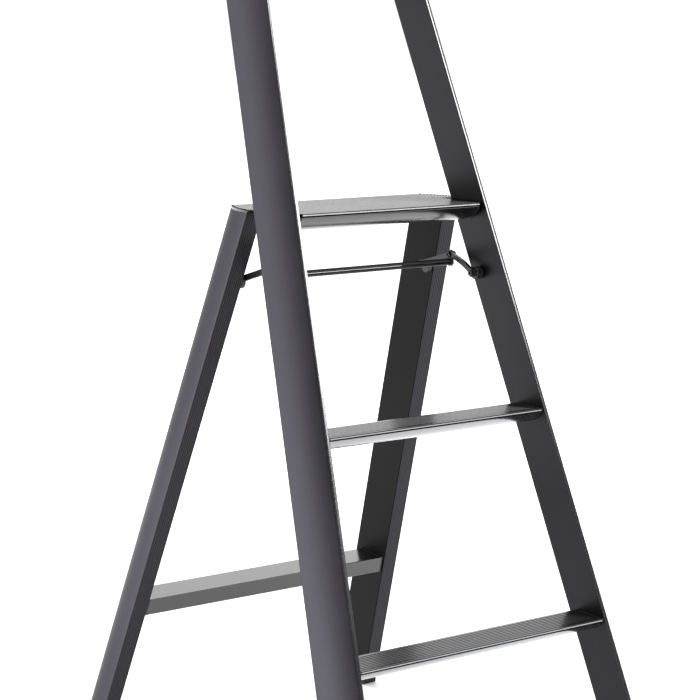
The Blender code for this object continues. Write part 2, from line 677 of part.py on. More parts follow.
def make_front_arm(name, side):
    """A front arm with its end plate, and the boss and screw that carry it on the rail."""
    rail = rail_frame(side)
    bore = SCREW_RADIUS + GAP
    hole = circle(0, 0, bore)
    start, face = at_x(side * REAR_ARM_X), inner_plane(rail, GAP)
    boss = circle(0, 0, BOSS_RADIUS)
    prism(f"stay_boss_{name}", along_x(*STAY_FRONT), boss, start, face, "plastic", [hole])
    arm_out = FRONT_ARM_X + ARM_THICKNESS
    ends = at_x(side * FRONT_ARM_X), at_x(side * arm_out)
    sizes = FRONT_ARM_BOW, FRONT_ARM_HALF, FRONT_ARM_EYE, ELBOW_EYE
    outline = link_outline(STAY_FRONT, STAY_ELBOW, *sizes)
    arm = prism(f"stay_front_arm_{name}", along_x(0, 0), outline, *ends, "plastic")
    boolean(arm, prism(f"{arm.name}_plate", along_x(0, 0), end_plate(), *ends, "plastic"), "UNION")
    inside, outside = side * (FRONT_ARM_X - DRILL_END), side * (arm_out + DRILL_END)
    for spot in (STAY_FRONT, STAY_ELBOW):
        drill(arm, spot, inside, outside, bore)
    for spot in (UPPER_ROD, LOWER_ROD):
        drill(arm, spot, inside, outside, ROD_END_RADIUS + GAP)
    tip = inner_x(rail, STAY_FRONT[1]) + STAY_SCREW_REACH
    pivot(f"stay_screw_{name}", side, STAY_FRONT, FRONT_ARM_X - GAP, tip)
    pivot(f"stay_elbow_pin_{name}", side, STAY_ELBOW, FRONT_ARM_X - GAP, REAR_ARM_OUT)


def make_rear_arm(name, side):
    """A rear arm and its pin, and the bracket on the leg that the pin belongs to.

    The pin ends in the arm, so that it stays clear of the bracket while the ladder folds.
    """
    bore = SCREW_RADIUS + GAP
    ends = at_x(side * REAR_ARM_X), at_x(side * REAR_ARM_OUT)
    outline = link_outline(STAY_ELBOW, STAY_REAR, 0.0, REAR_ARM_HALF, ELBOW_EYE, REAR_ARM_EYE)
    holes = [circle(*STAY_ELBOW, bore), circle(*STAY_REAR, bore)]
    prism(f"stay_rear_arm_{name}", along_x(0, 0), outline, *ends, "plastic", holes)
    pivot(f"stay_pin_{name}", side, STAY_REAR, REAR_ARM_X - GAP, REAR_ARM_OUT)
    start, face = at_x(side * (REAR_ARM_OUT + GAP)), inner_plane(leg_frame(side), GAP)
    prism(f"stay_bracket_{name}", along_x(0, 0), bracket_outline(), start, face, "plastic")


def make_rod(name, spot):
    """A rod between the end plates, with a thinner end in each."""
    shoulder, end = FRONT_ARM_X - GAP, FRONT_ARM_X + ARM_THICKNESS
    profile = [(-end, ROD_END_RADIUS), (-shoulder, ROD_END_RADIUS), (-shoulder, ROD_RADIUS)]
    profile += [(-x, radius) for x, radius in reversed(profile)]
    turned(name, *spot, profile, "plastic")


def make_stay():
    for name, side in SIDES:
        make_front_arm(name, side)
        make_rear_arm(name, side)
    make_rod("stay_upper_rod", UPPER_ROD)
    make_rod("stay_lower_rod", LOWER_ROD)


# ---- build --------------------------------------------------------------------------------------
clear_scene()
MATERIALS = make_materials()
make_rails()
make_handrail()
for label, height in (("step_lower", STEP_RISE), ("step_middle", 2 * STEP_RISE)):
    make_step(label, label, STEP, step_frame(height), rail_frame, RAIL_WALL, step_screw_place(height))
make_platform()
make_legs()
CROSSBAR_SCREW = crossbar_screw_place()
make_step("rear_crossbar", "crossbar", BAR, crossbar_frame(), leg_frame, LEG_WALL, CROSSBAR_SCREW)
for label, way in SIDES:
    make_foot(f"front_foot_{label}", rail_frame(way), RAIL, RAIL_WALL)
    make_foot(f"rear_foot_{label}", leg_frame(way), LEG, LEG_WALL)
    make_hinge(label, way)
make_stay()
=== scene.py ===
"""Looks of the folding three-step ladder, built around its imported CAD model.

Every visible extrusion is swept again with its full section: tread ribs, grooves, rounded
corners and the bright cut front edges. The handrail's corners, the feet, rods and pivot screws
are made again too, and the stay's arms, bosses and brackets get rounded edges. Everything else
keeps its CAD shape. All lengths are in metres, in the CAD's own frame, and each piece that
stands for a CAD node is checked against it.
"""
import json
import math

import bmesh
import bpy
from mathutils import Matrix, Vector

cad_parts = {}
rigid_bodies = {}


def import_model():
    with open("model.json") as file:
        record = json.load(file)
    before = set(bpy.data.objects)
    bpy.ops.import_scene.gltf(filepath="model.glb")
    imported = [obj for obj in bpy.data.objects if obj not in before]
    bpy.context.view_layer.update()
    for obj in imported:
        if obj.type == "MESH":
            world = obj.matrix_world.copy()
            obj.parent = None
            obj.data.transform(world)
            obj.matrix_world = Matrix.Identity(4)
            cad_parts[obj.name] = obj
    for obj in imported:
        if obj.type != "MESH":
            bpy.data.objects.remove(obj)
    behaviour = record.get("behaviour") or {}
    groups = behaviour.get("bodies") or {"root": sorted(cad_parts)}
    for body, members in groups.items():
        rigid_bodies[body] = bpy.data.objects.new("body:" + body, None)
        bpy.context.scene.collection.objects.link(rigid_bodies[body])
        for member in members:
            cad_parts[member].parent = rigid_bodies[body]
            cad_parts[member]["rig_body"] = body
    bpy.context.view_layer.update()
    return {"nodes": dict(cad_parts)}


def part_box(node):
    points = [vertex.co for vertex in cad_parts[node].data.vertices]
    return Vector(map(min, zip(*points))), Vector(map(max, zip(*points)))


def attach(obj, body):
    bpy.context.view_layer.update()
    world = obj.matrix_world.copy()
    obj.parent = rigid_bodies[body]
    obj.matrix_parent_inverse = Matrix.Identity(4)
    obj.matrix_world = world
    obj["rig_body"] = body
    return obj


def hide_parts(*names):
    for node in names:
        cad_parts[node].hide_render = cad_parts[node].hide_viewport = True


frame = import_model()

MM = 0.001
GAP = 0.3 * MM                       # clearance between CAD pieces
PLACE_TOLERANCE = 1.5 * MM           # by which a piece may stand outside its CAD node

# ---- sizes shared with the CAD source -----------------------------------------------------------
OPEN_DEPTH = 764 * MM
FOOT_LIP = 0.5 * MM
FRONT_Y = -OPEN_DEPTH / 2 + FOOT_LIP
STEP_RISE = 260 * MM
PLATFORM_TOP = 3 * STEP_RISE
HANDRAIL_TOP = 1092 * MM
RAIL_HALF_WIDTH, RAIL_TAPER, RAIL_LEAN = 212 * MM, 0.0887, 0.385
LEG_HALF_WIDTH, LEG_TAPER, LEG_LEAN, LEG_FRONT = 219.7 * MM, 0.0987, 0.391, 689.3 * MM
RAIL = dict(depth=67.3 * MM, thin=5.0 * MM, thick=23.7 * MM)
LEG = dict(depth=68.5 * MM, thin=3 * MM, thick=24 * MM)
STEP = dict(depth=53 * MM, thin=3.5 * MM, thick=23.2 * MM)
PLATFORM = dict(STEP, thick=25 * MM)
BAR = dict(depth=60 * MM, thin=3.5 * MM, thick=25 * MM)
NOSE_SETBACK = 2 * MM
CROSSBAR_TOP, CROSSBAR_SETBACK = 226.4 * MM, 3 * MM
CAP_PLATE = 2.2 * MM
FOOT_HEIGHT = 12 * MM
CORNER_RADIUS = 26 * MM
PLATFORM_HALF = 137 * MM
PLATFORM_WALL, CAVITY_FRONT, WEB_FRONT = 2.2 * MM, 9 * MM, 74 * MM
DECK, DECK_OVERHANG = 3.4 * MM, 0.6 * MM
BAR_SLOPE = math.atan(RAIL_LEAN)
STAY_FRONT = (FRONT_Y + 318 * MM, 686 * MM)
STAY_ELBOW = (FRONT_Y + 366.7 * MM, 706 * MM)
STAY_REAR = (FRONT_Y + 437 * MM, 686 * MM)
UPPER_ROD = (STAY_ELBOW[0] - 1.7 * MM, STAY_ELBOW[1] - 7.1 * MM)
ROD_SPACING = 4.75 * MM
LOWER_ROD = (UPPER_ROD[0], UPPER_ROD[1] - ROD_SPACING)
SIDES = (("left", -1), ("right", 1))

# ---- finer detail than the CAD has --------------------------------------------------------------
RAIL_WALL, LEG_WALL, STEP_WALL = 1.8 * MM, 1.2 * MM, 2.0 * MM
RIB_PITCH, RIB_TOP, RIB_FLANK, RIB_DEPTH = 5 * MM, 2.4 * MM, 0.5 * MM, 1.0 * MM
TOOTH_WIDTH, TOOTH_RISE = 1.4 * MM, 0.8 * MM  # of a rib's upturned end, at the deck's sides
FIRST_RIB = 7 * MM                   # from a tread's nose back to its first whole rib
RIB_MARGIN = 1.5 * MM                # at least, from the last rib to a tread's back edge
DECK_RIBS_END = 0.8 * MM             # from the deck's back edge to where its ribs stop
DECK_BEVEL = 0.7 * MM                # along the deck's back edge
WING_STEP = 0.01 * MM                # in y, over which the deck widens from the box to the legs
GROOVE_PITCH, GROOVE_WIDTH, GROOVE_DEPTH = 3 * MM, 1 * MM, 0.5 * MM
GROOVE_SLOPE = 0.25 * MM             # by which a groove is narrower at its floor, on each side
FIRST_GROOVE, LAST_GROOVE = 3 * MM, 2.5 * MM  # from the outer and the inner corner of a leg
RAIL_CHAMFER = 0.8 * MM
RAIL_EDGE_ROUND = 0.9 * MM           # between a rail's front edge and its bowed side
RAIL_BACK_ROUND, RAIL_OUTER_ROUND = 1.6 * MM, 2.4 * MM
LEG_FRONT_ROUND, LEG_BACK_ROUND, LEG_OUTER_ROUND = 1 * MM, 0.9 * MM, 1.2 * MM
LEG_BACK_SLOPE = (5 * MM, 3 * MM)    # how a leg's bowed side leaves its thin back edge
STEP_BACK_ROUND, STEP_BELLY_ROUND, PLATFORM_BACK_ROUND = 0.8 * MM, 1.4 * MM, 1.5 * MM
BAR_EDGE = (0.9 * MM, 1.2 * MM)      # of the crossbar's thin edge, back and down
BOW_MARGIN = 4 * MM                  # from a rail's or leg's thick edge to its bowed side
LEG_BOW_END = 2 * MM                 # from a leg's thin edge to its bowed side
STEP_BOW_MARGIN = 3 * MM             # from a step's thick edge to its bowed side
NOTCH_START = 1.7 * MM               # from a tread's nose back to the notch under it
CORNER_TUCK = 0.5 * MM               # how far a handrail corner's ends are drawn in
BOW_STEPS, HOLLOW_STEPS, CORNER_STEPS, CROWN_STEPS = 28, 8, 24, 20
ARC_STEPS = 4                        # of a small round
SCREW_STEPS, ROD_STEPS = 24, 32
SOCKET_SIDES = 6
SOFT_WIDTH, SOFT_SEGMENTS = 1.0 * MM, 3  # of a rounded edge
MERGE_DISTANCE = 0.01 * MM
FLAT_ANGLE = math.radians(1)         # faces that meet at less are one face
SHARP_ANGLE = math.radians(32)       # edges that are sharper aren't shaded as a curve
SOFT_SHARP_ANGLE = math.radians(40)  # the same, for pieces with rounded edges
GROOVE_POINTS = 3                    # of ribs(), after the last rib's top
# BELLY holds a lighter copy of the anodised finish, as painted reflection; FLAT holds darker and
# near-black copies, as painted shade
BODY, BRIGHT, BELLY, FLAT = 0, 1, 2, 3  # finishes on one extrusion
# The grooved front of a leg takes a darker copy of the anodised finish in that slot, as painted shade
LEG_FACE = BRIGHT                    # a leg has no bright edge, so its grooved front has that place


# ---- materials ----------------------------------------------------------------------------------
def node(tree, kind, **values):
    made = tree.nodes.new(kind)
    for name, value in values.items():
        setattr(made, name, value)
    return made


NOISE_RANGE = (0.3, 0.7)             # what a noise texture mostly gives
NOISE_DETAIL = 4
BROAD_SCALE = 9                      # slow changes to the metre
RELIEF_STRENGTH = 0.35
DRAWN_SCALE = (2200, 14, 1)          # lines to the metre across an extrusion, and along it
COLOUR_A, COLOUR_B, COLOUR_OUT = 6, 7, 2  # sockets of a Mix node that mixes colours
FLOAT_A, FLOAT_B, FLOAT_OUT = 2, 3, 0     # and of one that mixes numbers


def ranged(tree, source, low, high):
    """Spread a noise over low to high."""
    made = node(tree, "ShaderNodeMapRange")
    made.inputs["From Min"].default_value = NOISE_RANGE[0]
    made.inputs["From Max"].default_value = NOISE_RANGE[1]
    made.inputs["To Min"].default_value = low
    made.inputs["To Max"].default_value = high
    tree.links.new(source, made.inputs["Value"])
    return made.outputs["Result"]


def fine_noise(tree, scale, drawn):
    """Noise that is drawn out along an extrusion, or an even grain."""
    if drawn:
        spot = node(tree, "ShaderNodeUVMap", uv_map="drawn").outputs["UV"]
    else:
        spot = node(tree, "ShaderNodeTexCoord").outputs["Object"]
    mapping = node(tree, "ShaderNodeMapping")
    mapping.inputs["Scale"].default_value = scale
    tree.links.new(spot, mapping.inputs["Vector"])
    noise = node(tree, "ShaderNodeTexNoise")
    noise.inputs["Scale"].default_value = 1
    noise.inputs["Detail"].default_value = NOISE_DETAIL
    tree.links.new(mapping.outputs["Vector"], noise.inputs["Vector"])
    return noise.outputs["Fac"]


def broad_noise(tree):
    noise = node(tree, "ShaderNodeTexNoise")
    noise.inputs["Scale"].default_value = BROAD_SCALE
    tree.links.new(node(tree, "ShaderNodeTexCoord").outputs["Object"], noise.inputs["Vector"])
    return noise.outputs["Fac"]


def spread_colour(tree, shader, noise, colour, spread):
    mix = node(tree, "ShaderNodeMix", data_type="RGBA")
    mix.inputs[COLOUR_A].default_value = (*[c * (1 - spread) for c in colour], 1)
    mix.inputs[COLOUR_B].default_value = (*[min(c * (1 + spread), 1) for c in colour], 1)
    tree.links.new(noise, mix.inputs["Factor"])
    tree.links.new(mix.outputs[COLOUR_OUT], shader.inputs["Base Color"])


def spread_roughness(tree, shader, noise, roughness, spread):
    rough = node(tree, "ShaderNodeMath", operation="ADD")
    tree.links.new(ranged(tree, noise, roughness - spread, roughness), rough.inputs[0])
    tree.links.new(ranged(tree, broad_noise(tree), 0, spread), rough.inputs[1])
    tree.links.new(rough.outputs["Value"], shader.inputs["Roughness"])


def add_relief(tree, shader, noise, height):
    relief = node(tree, "ShaderNodeBump")
    relief.inputs["Strength"].default_value = RELIEF_STRENGTH
    relief.inputs["Distance"].default_value = height
    tree.links.new(noise, relief.inputs["Height"])
    tree.links.new(relief.outputs["Normal"], shader.inputs["Normal"])


def finish(name, colour, roughness, spread=0.12, rough_spread=0.03, metallic=1.0, scale=DRAWN_SCALE,
           bump=0.02 * MM, drawn=True, coat=0.0, specular=0.5, edge=1.0):
    """A procedural finish, with fine lines along the extrusion unless drawn is off.

    bump is the height of its relief. edge is how much a metal still reflects at a grazing angle.
    """
    made = bpy.data.materials.new(name)
    made.use_nodes = True
    tree = made.node_tree
    shader = tree.nodes["Principled BSDF"]
    shader.inputs["Metallic"].default_value = metallic
    shader.inputs["Specular IOR Level"].default_value = specular
    shader.inputs["Specular Tint"].default_value = (edge, edge, edge, 1)
    shader.inputs["Coat Weight"].default_value = coat
    shader.inputs["Coat Roughness"].default_value = roughness / 2
    noise = fine_noise(tree, scale, drawn)
    spread_colour(tree, shader, noise, colour, spread)
    spread_roughness(tree, shader, noise, roughness, rough_spread)
    if bump:
        add_relief(tree, shader, noise, bump)
    return made


def grained(name, colour, roughness, spread, rough_spread, metallic, grains, bump):
    """A finish with an even grain, of this many grains to the metre."""
    return finish(name, colour, roughness, spread, rough_spread, metallic, (grains,) * 3, bump, False)


MATERIALS = {
    # anodised: its edge tint of 0.45 dims reflections at grazing angles, as painted shade
    "anodised": finish("anodised", (0.091, 0.087, 0.101), 0.36, edge=0.45),
    # shaded_flat_side: a darker copy of the anodised finish for the rails' flat inner sides, painted shade
    "shaded_flat_side": finish("shaded_flat_side", (0.022, 0.021, 0.023), 0.4),
    # leg_front: a darker copy of the anodised finish for the legs' grooved fronts, painted shade
    "leg_front": finish("leg_front", (0.045, 0.043, 0.048), 0.4),
    "bright": finish("bright_edge", (0.8, 0.79, 0.8), 0.2, spread=0.04),
    "tread": finish("tread", (0.078, 0.076, 0.078), 0.36, rough_spread=0.04, coat=0.6),
    # leg_side: near-black with almost no reflection, painted shade on the legs' flat inner sides, in the
    # notch under each nose, on the fine strip at the nose and on the deck's teeth; the crossbar's thin
    # edge takes it too
    "leg_side": finish("leg_side", (0.007, 0.007, 0.0075), 0.45, 0.2, 0.04, 0.0, specular=0.05),
    # reflecting_belly: a much lighter and more reflective copy of the anodised finish for the treads'
    # undersides, painted reflection of the bright floor
    "reflecting_belly": finish("reflecting_belly", (0.30, 0.30, 0.31), 0.2, spread=0.06, bump=0.01 * MM),
    # reflecting_fascia: a lighter copy of the anodised finish for the platform's underside and the
    # crossbar, painted reflection of the floor
    "reflecting_fascia": finish("reflecting_fascia", (0.125, 0.122, 0.124), 0.22, spread=0.06, bump=0.01 * MM),
    "plastic": grained("plastic", (0.014, 0.014, 0.015), 0.4, 0.2, 0.06, 0.0, 900, 0.05 * MM),
    "rubber": grained("rubber", (0.03, 0.03, 0.032), 0.78, 0.2, 0.08, 0.0, 500, 0.1 * MM),
    "cast": grained("cast", (0.2, 0.2, 0.205), 0.5, 0.15, 0.08, 0.9, 600, 0.08 * MM),
    "steel": grained("steel", (0.05, 0.05, 0.052), 0.3, 0.1, 0.05, 1.0, 400, 0),
}
EXTRUSION = [MATERIALS[name] for name in ("anodised", "bright", "reflecting_belly", "shaded_flat_side")]
TREADED = [MATERIALS[name] for name in ("tread", "bright", "reflecting_belly", "leg_side")]
DARK_BELLIED = [MATERIALS[name] for name in ("tread", "bright", "reflecting_fascia", "leg_side")]
LEGS = [MATERIALS[name] for name in ("anodised", "leg_front", "reflecting_belly", "leg_side")]


# ---- planes, frames and sections, as in the CAD source ------------------------------------------
def plane(point, normal):
    return Vector(point), Vector(normal).normalized()


def level(z):
    return plane((0, 0, z), (0, 0, 1))


def at_x(x):
    return plane((x, 0, 0), (1, 0, 0))


class Frame:
    """A place to sweep a flat section from: u and v span the section, w is the way it runs."""

    def __init__(self, origin, u, v, w):
        self.origin = Vector(origin)
        self.u = Vector(u).normalized()
        self.v = Vector(v).normalized()
        self.w = Vector(w).normalized()

    def at(self, a, b, cut):
        start = self.origin + self.u * a + self.v * b
        point, normal = cut
        return start + self.w * ((point - start).dot(normal) / self.w.dot(normal))


def leaning_frame(side, half_width, taper, y_floor, lean):
    w = Vector((-side * taper, lean, 1)).normalized()
    back = Vector((0, 1, 0))
    u = (back - w * back.dot(w)).normalized()
    v = w.cross(u)
    if v.x * side < 0:
        v.negate()
    return Frame((side * half_width, y_floor, 0), u, v, w)


def rail_frame(side):
    return leaning_frame(side, RAIL_HALF_WIDTH, RAIL_TAPER, FRONT_Y, RAIL_LEAN)


def leg_frame(side):
    return leaning_frame(side, LEG_HALF_WIDTH, LEG_TAPER, FRONT_Y + LEG_FRONT, -LEG_LEAN)


def inner_plane(swept, distance):
    return plane(swept.origin - swept.v * distance, swept.v)


def inner_x(swept, z):
    return abs(swept.origin.x) - abs(swept.w.x / swept.w.z) * z


def bow(a, depth, thin, thick):
    """Thickness of a wing section at a from its thin edge: an arc, flat at the thick edge."""
    radius = (depth ** 2 + (thick - thin) ** 2) / (2 * (thick - thin))
    return thick - (radius - math.sqrt(radius ** 2 - (depth - a) ** 2))


def step_y(z):
    return FRONT_Y + RAIL_LEAN * z + NOSE_SETBACK


def step_frame(z):
    return Frame((0, step_y(z), z), (0, 1, 0), (0, 0, -1), (1, 0, 0))


def crossbar_frame():
    y = FRONT_Y + LEG_FRONT - LEG_LEAN * CROSSBAR_TOP + CROSSBAR_SETBACK + BAR["depth"]
    return Frame((0, y, CROSSBAR_TOP), (0, -1, 0), (0, 0, -1), (1, 0, 0))


def rail_top():
    samples = [i / CROWN_STEPS * RAIL["depth"] for i in range(CROWN_STEPS + 1)]
    crown = max(bow(a, **RAIL) * math.cos(BAR_SLOPE) - a * math.sin(BAR_SLOPE) for a in samples)
    bend = CORNER_RADIUS * (math.cos(BAR_SLOPE) - abs(rail_frame(1).v.z))
    return HANDRAIL_TOP - crown - bend


def corner_frames(side):
    """Frames that turn from the top of a rail round to the end of the handrail bar."""
    rail = rail_frame(side)
    origin = rail.at(0, 0, plane(rail.at(0, 0, level(rail_top())), rail.w))
    bar_w = Vector((-side, 0, 0))
    bar_u = Vector((0, math.cos(BAR_SLOPE), -math.sin(BAR_SLOPE)))
    bar_v = Vector((0, math.sin(BAR_SLOPE), math.cos(BAR_SLOPE)))
    turn = math.acos(rail.w.dot(bar_w))
    centre = origin - rail.v * CORNER_RADIUS
    frames = []
    for i in range(CORNER_STEPS + 1):
        t = i / CORNER_STEPS
        v = (rail.v * math.sin((1 - t) * turn) + bar_v * math.sin(t * turn)).normalized()
        u = rail.u.lerp(bar_u, t)
        u = (u - v * u.dot(v)).normalized()
        w = u.cross(v)
        if w.dot(rail.w.lerp(bar_w, t)) < 0:
            w.negate()
        frames.append(Frame(centre + v * CORNER_RADIUS, u, v, w))
    return frames


# ---- fine outlines: lists of (a, b, finish), the finish being that of the side that follows -----
def rounded(before, corner, after, radius, kind=BODY, last=None):
    """A round corner between two straight sides, all given as (a, b)."""
    spot, back, ahead = Vector(corner), Vector(before), Vector(after)
    back, ahead = (back - spot).normalized(), (ahead - spot).normalized()
    half = back.angle(ahead) / 2
    centre = spot + (back + ahead).normalized() * (radius / math.sin(half))
    start = spot + back * (radius / math.tan(half)) - centre
    end = spot + ahead * (radius / math.tan(half)) - centre
    points = []
    for i in range(ARC_STEPS + 1):
        arm = start.lerp(end, i / ARC_STEPS).normalized() * radius + centre
        points.append((arm.x, arm.y, kind))
    points[-1] = (*points[-1][:2], kind if last is None else last)
    return points


def bowed(start, stop, section, kind):
    """Points of the bowed side from a = start to a = stop."""
    steps = [start + (stop - start) * i / BOW_STEPS for i in range(BOW_STEPS + 1)]
    return [(a, bow(a, **section), kind) for a in steps]


def rail_outline():
    """The rail's section: bright cut front edge, flat inner side, rounded back, bowed outside. The flat
    inner side and the back round take a darker copy of the anodised finish, as painted shade.
    """
    depth, thin, thick = RAIL["depth"], RAIL["thin"], RAIL["thick"]
    points = [(0, RAIL_CHAMFER, BODY), (RAIL_CHAMFER, 0, FLAT)]
    points += rounded((0, 0), (depth, 0), (depth, thick), RAIL_BACK_ROUND, FLAT, BODY)
    points += rounded((depth, 0), (depth, thick), (0, thick), RAIL_OUTER_ROUND)
    points += bowed(depth - BOW_MARGIN, RAIL_CHAMFER, RAIL, BODY)
    a, b, _ = points.pop()
    return points + [(a, b, BRIGHT), (0, thin - RAIL_EDGE_ROUND, BRIGHT)]


def leg_outline():
    """The rear leg's section: a grooved flat front, bowed outside and a thin back edge. Its flat inner
    side is painted near-black as painted shade, and its grooved front is a darker copy of the anodised
    finish, painted shade too.
    """
    depth, thin, thick = LEG["depth"], LEG["thin"], LEG["thick"]
    bowed_way = (depth - LEG_BACK_SLOPE[0], thin + LEG_BACK_SLOPE[1])
    points = rounded((0, thick), (0, 0), (depth, 0), LEG_FRONT_ROUND, FLAT)
    points += rounded((0, 0), (depth, 0), (depth, thin), LEG_BACK_ROUND, FLAT, BODY)
    points += rounded((depth, 0), (depth, thin), bowed_way, LEG_BACK_ROUND)
    points += flipped(bowed(LEG_BOW_END, depth - BOW_MARGIN, LEG, BODY), depth)
    points += rounded((depth, thick), (0, thick), (0, 0), LEG_OUTER_ROUND, BODY, LEG_FACE)
    centre = thick - FIRST_GROOVE
    while centre > LAST_GROOVE:
        top, low = centre + GROOVE_WIDTH / 2, centre - GROOVE_WIDTH / 2
        floor_top, floor_low = top - GROOVE_SLOPE, low + GROOVE_SLOPE
        groove = (0, top), (GROOVE_DEPTH, floor_top), (GROOVE_DEPTH, floor_low), (0, low)
        points += [(a, b, LEG_FACE) for a, b in groove]
        centre -= GROOVE_PITCH
    return points


def ribs(start, stop):
    """Ribs across a tread from a = start to a = stop. Their tops are at b = 0."""
    points = []
    a = start
    while a + RIB_PITCH <= stop:
        points += [(a, 0, BODY), (a + RIB_TOP, 0, BODY)]
        points.append((a + RIB_TOP + RIB_FLANK, RIB_DEPTH, BODY))
        points.append((a + RIB_PITCH - RIB_FLANK, RIB_DEPTH, BODY))
        a += RIB_PITCH
    points.append((a, 0, BODY))
    return points


def from_millimetres(profile):
    return [(a * MM, b * MM, kind) for a, b, kind in profile]


def nose():
    """The front of a tread: a fine strip painted near-black as painted shade and a small chamfer, then a
    groove and a rib.
    """
    profile = [(0, 1.2, FLAT), (0.15, 0.4, BODY), (0.5, 0, BODY), (2.6, 0, BODY)]
    profile += [(2.8, 1.3, BODY), (3.6, 1.3, BODY), (3.9, 0, BODY), (5.0, 0, BODY)]
    profile += [(5.4, 1.3, BODY), (6.6, 1.3, BODY)]
    return from_millimetres(profile)


def under_nose(shine):
    """The notch between a tread's belly and its front edge, painted near-black as painted shade, and the
    edge itself.
    """
    return from_millimetres([(1.4, 4.9, FLAT), (1.5, 2.7, FLAT), (0, 2.6, shine)])


def step_outline(section, top=BODY, shine=BELLY):
    """A tread's section. The crossbar has the same shape, with a smooth top and no bright edge."""
    depth, thick = section["depth"], section["thick"]
    foot = depth - RAIL_LEAN * thick
    if top == BODY:
        points = nose() + ribs(FIRST_RIB, depth - RIB_MARGIN)
    else:
        points = [(0, BAR_EDGE[1], FLAT), (BAR_EDGE[0], 0, top)]
    points += rounded((0, 0), (depth, 0), (foot, thick), STEP_BACK_ROUND, top, BODY)
    points += rounded((depth, 0), (foot, thick), (0, thick), STEP_BELLY_ROUND, BODY, BELLY)
    points += bowed(foot - STEP_BOW_MARGIN, NOTCH_START, dict(section, depth=foot), BELLY)
    return points + under_nose(shine)


def plain(section, inset, rake=0.0):
    """The hollow inside an extrusion, as the CAD has it."""
    depth, thin, thick = section["depth"], section["thin"], section["thick"]
    foot = depth - rake * thick
    points = [(inset, inset, BODY), (depth - inset * (1 + rake), inset, BODY)]
    points.append((foot - inset, thick - inset, BODY))
    for i in range(1, HOLLOW_STEPS + 1):
        a = foot - inset + (2 * inset - foot) * i / HOLLOW_STEPS
        points.append((a, bow(a, foot, thin, thick) - inset, BODY))
    return points


def flipped(points, depth):
    """An outline turned round, so that its front edge is its back edge."""
    return [(depth - a, b, kind) for a, b, kind in points]


def offset(points, distance):
    """An outline moved outwards (or inwards, below zero) by a distance."""
    flat = [Vector(point[:2]) for point in points]
    count = len(flat)
    area = sum(flat[i - 1].cross(flat[i]) for i in range(count))
    sign = 1 if area > 0 else -1
    moved = []
    for i, point in enumerate(flat):
        before, after = point - flat[i - 1], flat[(i + 1) % count] - point
        normal = Vector((before.y, -before.x)).normalized() + Vector((after.y, -after.x)).normalized()
        normal.normalize()
        spot = point + normal * (sign * distance)
        moved.append((spot.x, spot.y, points[i][2]))
    return moved


# ---- meshes -------------------------------------------------------------------------------------
def place(name, bm, materials, body, nodes=(), angle=SHARP_ANGLE):
    """Turn a bmesh into a piece: smooth, riding on a body and standing for CAD nodes."""
    bmesh.ops.recalc_face_normals(bm, faces=bm.faces)
    mesh = bpy.data.meshes.new(name)
    bm.to_mesh(mesh)
    bm.free()
    for material in materials:
        mesh.materials.append(material)
    mesh.shade_smooth()
    mesh.set_sharp_from_angle(angle=angle)
    piece = bpy.data.objects.new(name, mesh)
    bpy.context.scene.collection.objects.link(piece)
    piece.modifiers.new("normals", "WEIGHTED_NORMAL").keep_sharp = True
    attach(piece, body)
    for cad_node in nodes:
        check_place(piece, cad_node)
        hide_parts(cad_node)
    return piece


def check_place(piece, cad_node):
    """Stop if a piece isn't where the CAD node that it stands for is."""
    low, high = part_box(cad_node)
    corners = [Vector(corner) for corner in piece.bound_box]
    for axis in range(3):
        values = [corner[axis] for corner in corners]
        off = max(low[axis] - min(values), max(values) - high[axis])
        if off > PLACE_TOLERANCE:
            raise ValueError(f"{piece.name} is {off / MM:.1f} mm outside {cad_node}")


def wall(bm, uv, rings, points, along):
    """Join two rings of vertices with faces, with UVs that run round and along the extrusion."""
    start, end = along
    count = len(points)
    round_at = 0.0
    for i in range(count):
        j = (i + 1) % count
        width = math.dist(points[i][:2], points[j][:2])
        face = bm.faces.new((rings[0][i], rings[0][j], rings[1][j], rings[1][i]))
        face.material_index = points[i][2]
        turned_to = round_at + width
        spots = (round_at, start), (turned_to, start), (turned_to, end), (round_at, end)
        for loop, spot in zip(face.loops, spots):
            loop[uv].uv = spot
        round_at = turned_to


def extrude(name, swept, outline, cuts, materials, body, nodes, holes=()):
    """A straight extrusion with its hollows, between two cutting planes."""
    bm = bmesh.new()
    uv = bm.loops.layers.uv.new("drawn")
    length = (swept.at(0, 0, cuts[1]) - swept.at(0, 0, cuts[0])).length
    ends = ([], [])
    for points in (outline, *holes):
        rings = [[bm.verts.new(swept.at(a, b, cut)) for a, b, _ in points] for cut in cuts]
        wall(bm, uv, rings, points, (0, length))
        for edges, ring in zip(ends, rings):
            edges += [bm.edges.get((ring[i - 1], ring[i])) for i in range(len(ring))]
    for edges in ends:
        bmesh.ops.triangle_fill(bm, use_beauty=True, edges=edges)
    return place(name, bm, materials, body, nodes)


def loft(name, rings, points, materials, body, nodes):
    """A closed solid through rings of equal count, capped at both ends."""
    bm = bmesh.new()
    uv = bm.loops.layers.uv.new("drawn")
    loops = [[bm.verts.new(spot) for spot in ring] for ring in rings]
    along = 0.0
    for low, high in zip(loops, loops[1:]):
        step = (high[0].co - low[0].co).length
        wall(bm, uv, (low, high), points, (along, along + step))
        along += step
    bm.faces.new(loops[0])
    bm.faces.new(loops[-1])
    return place(name, bm, materials, body, nodes)


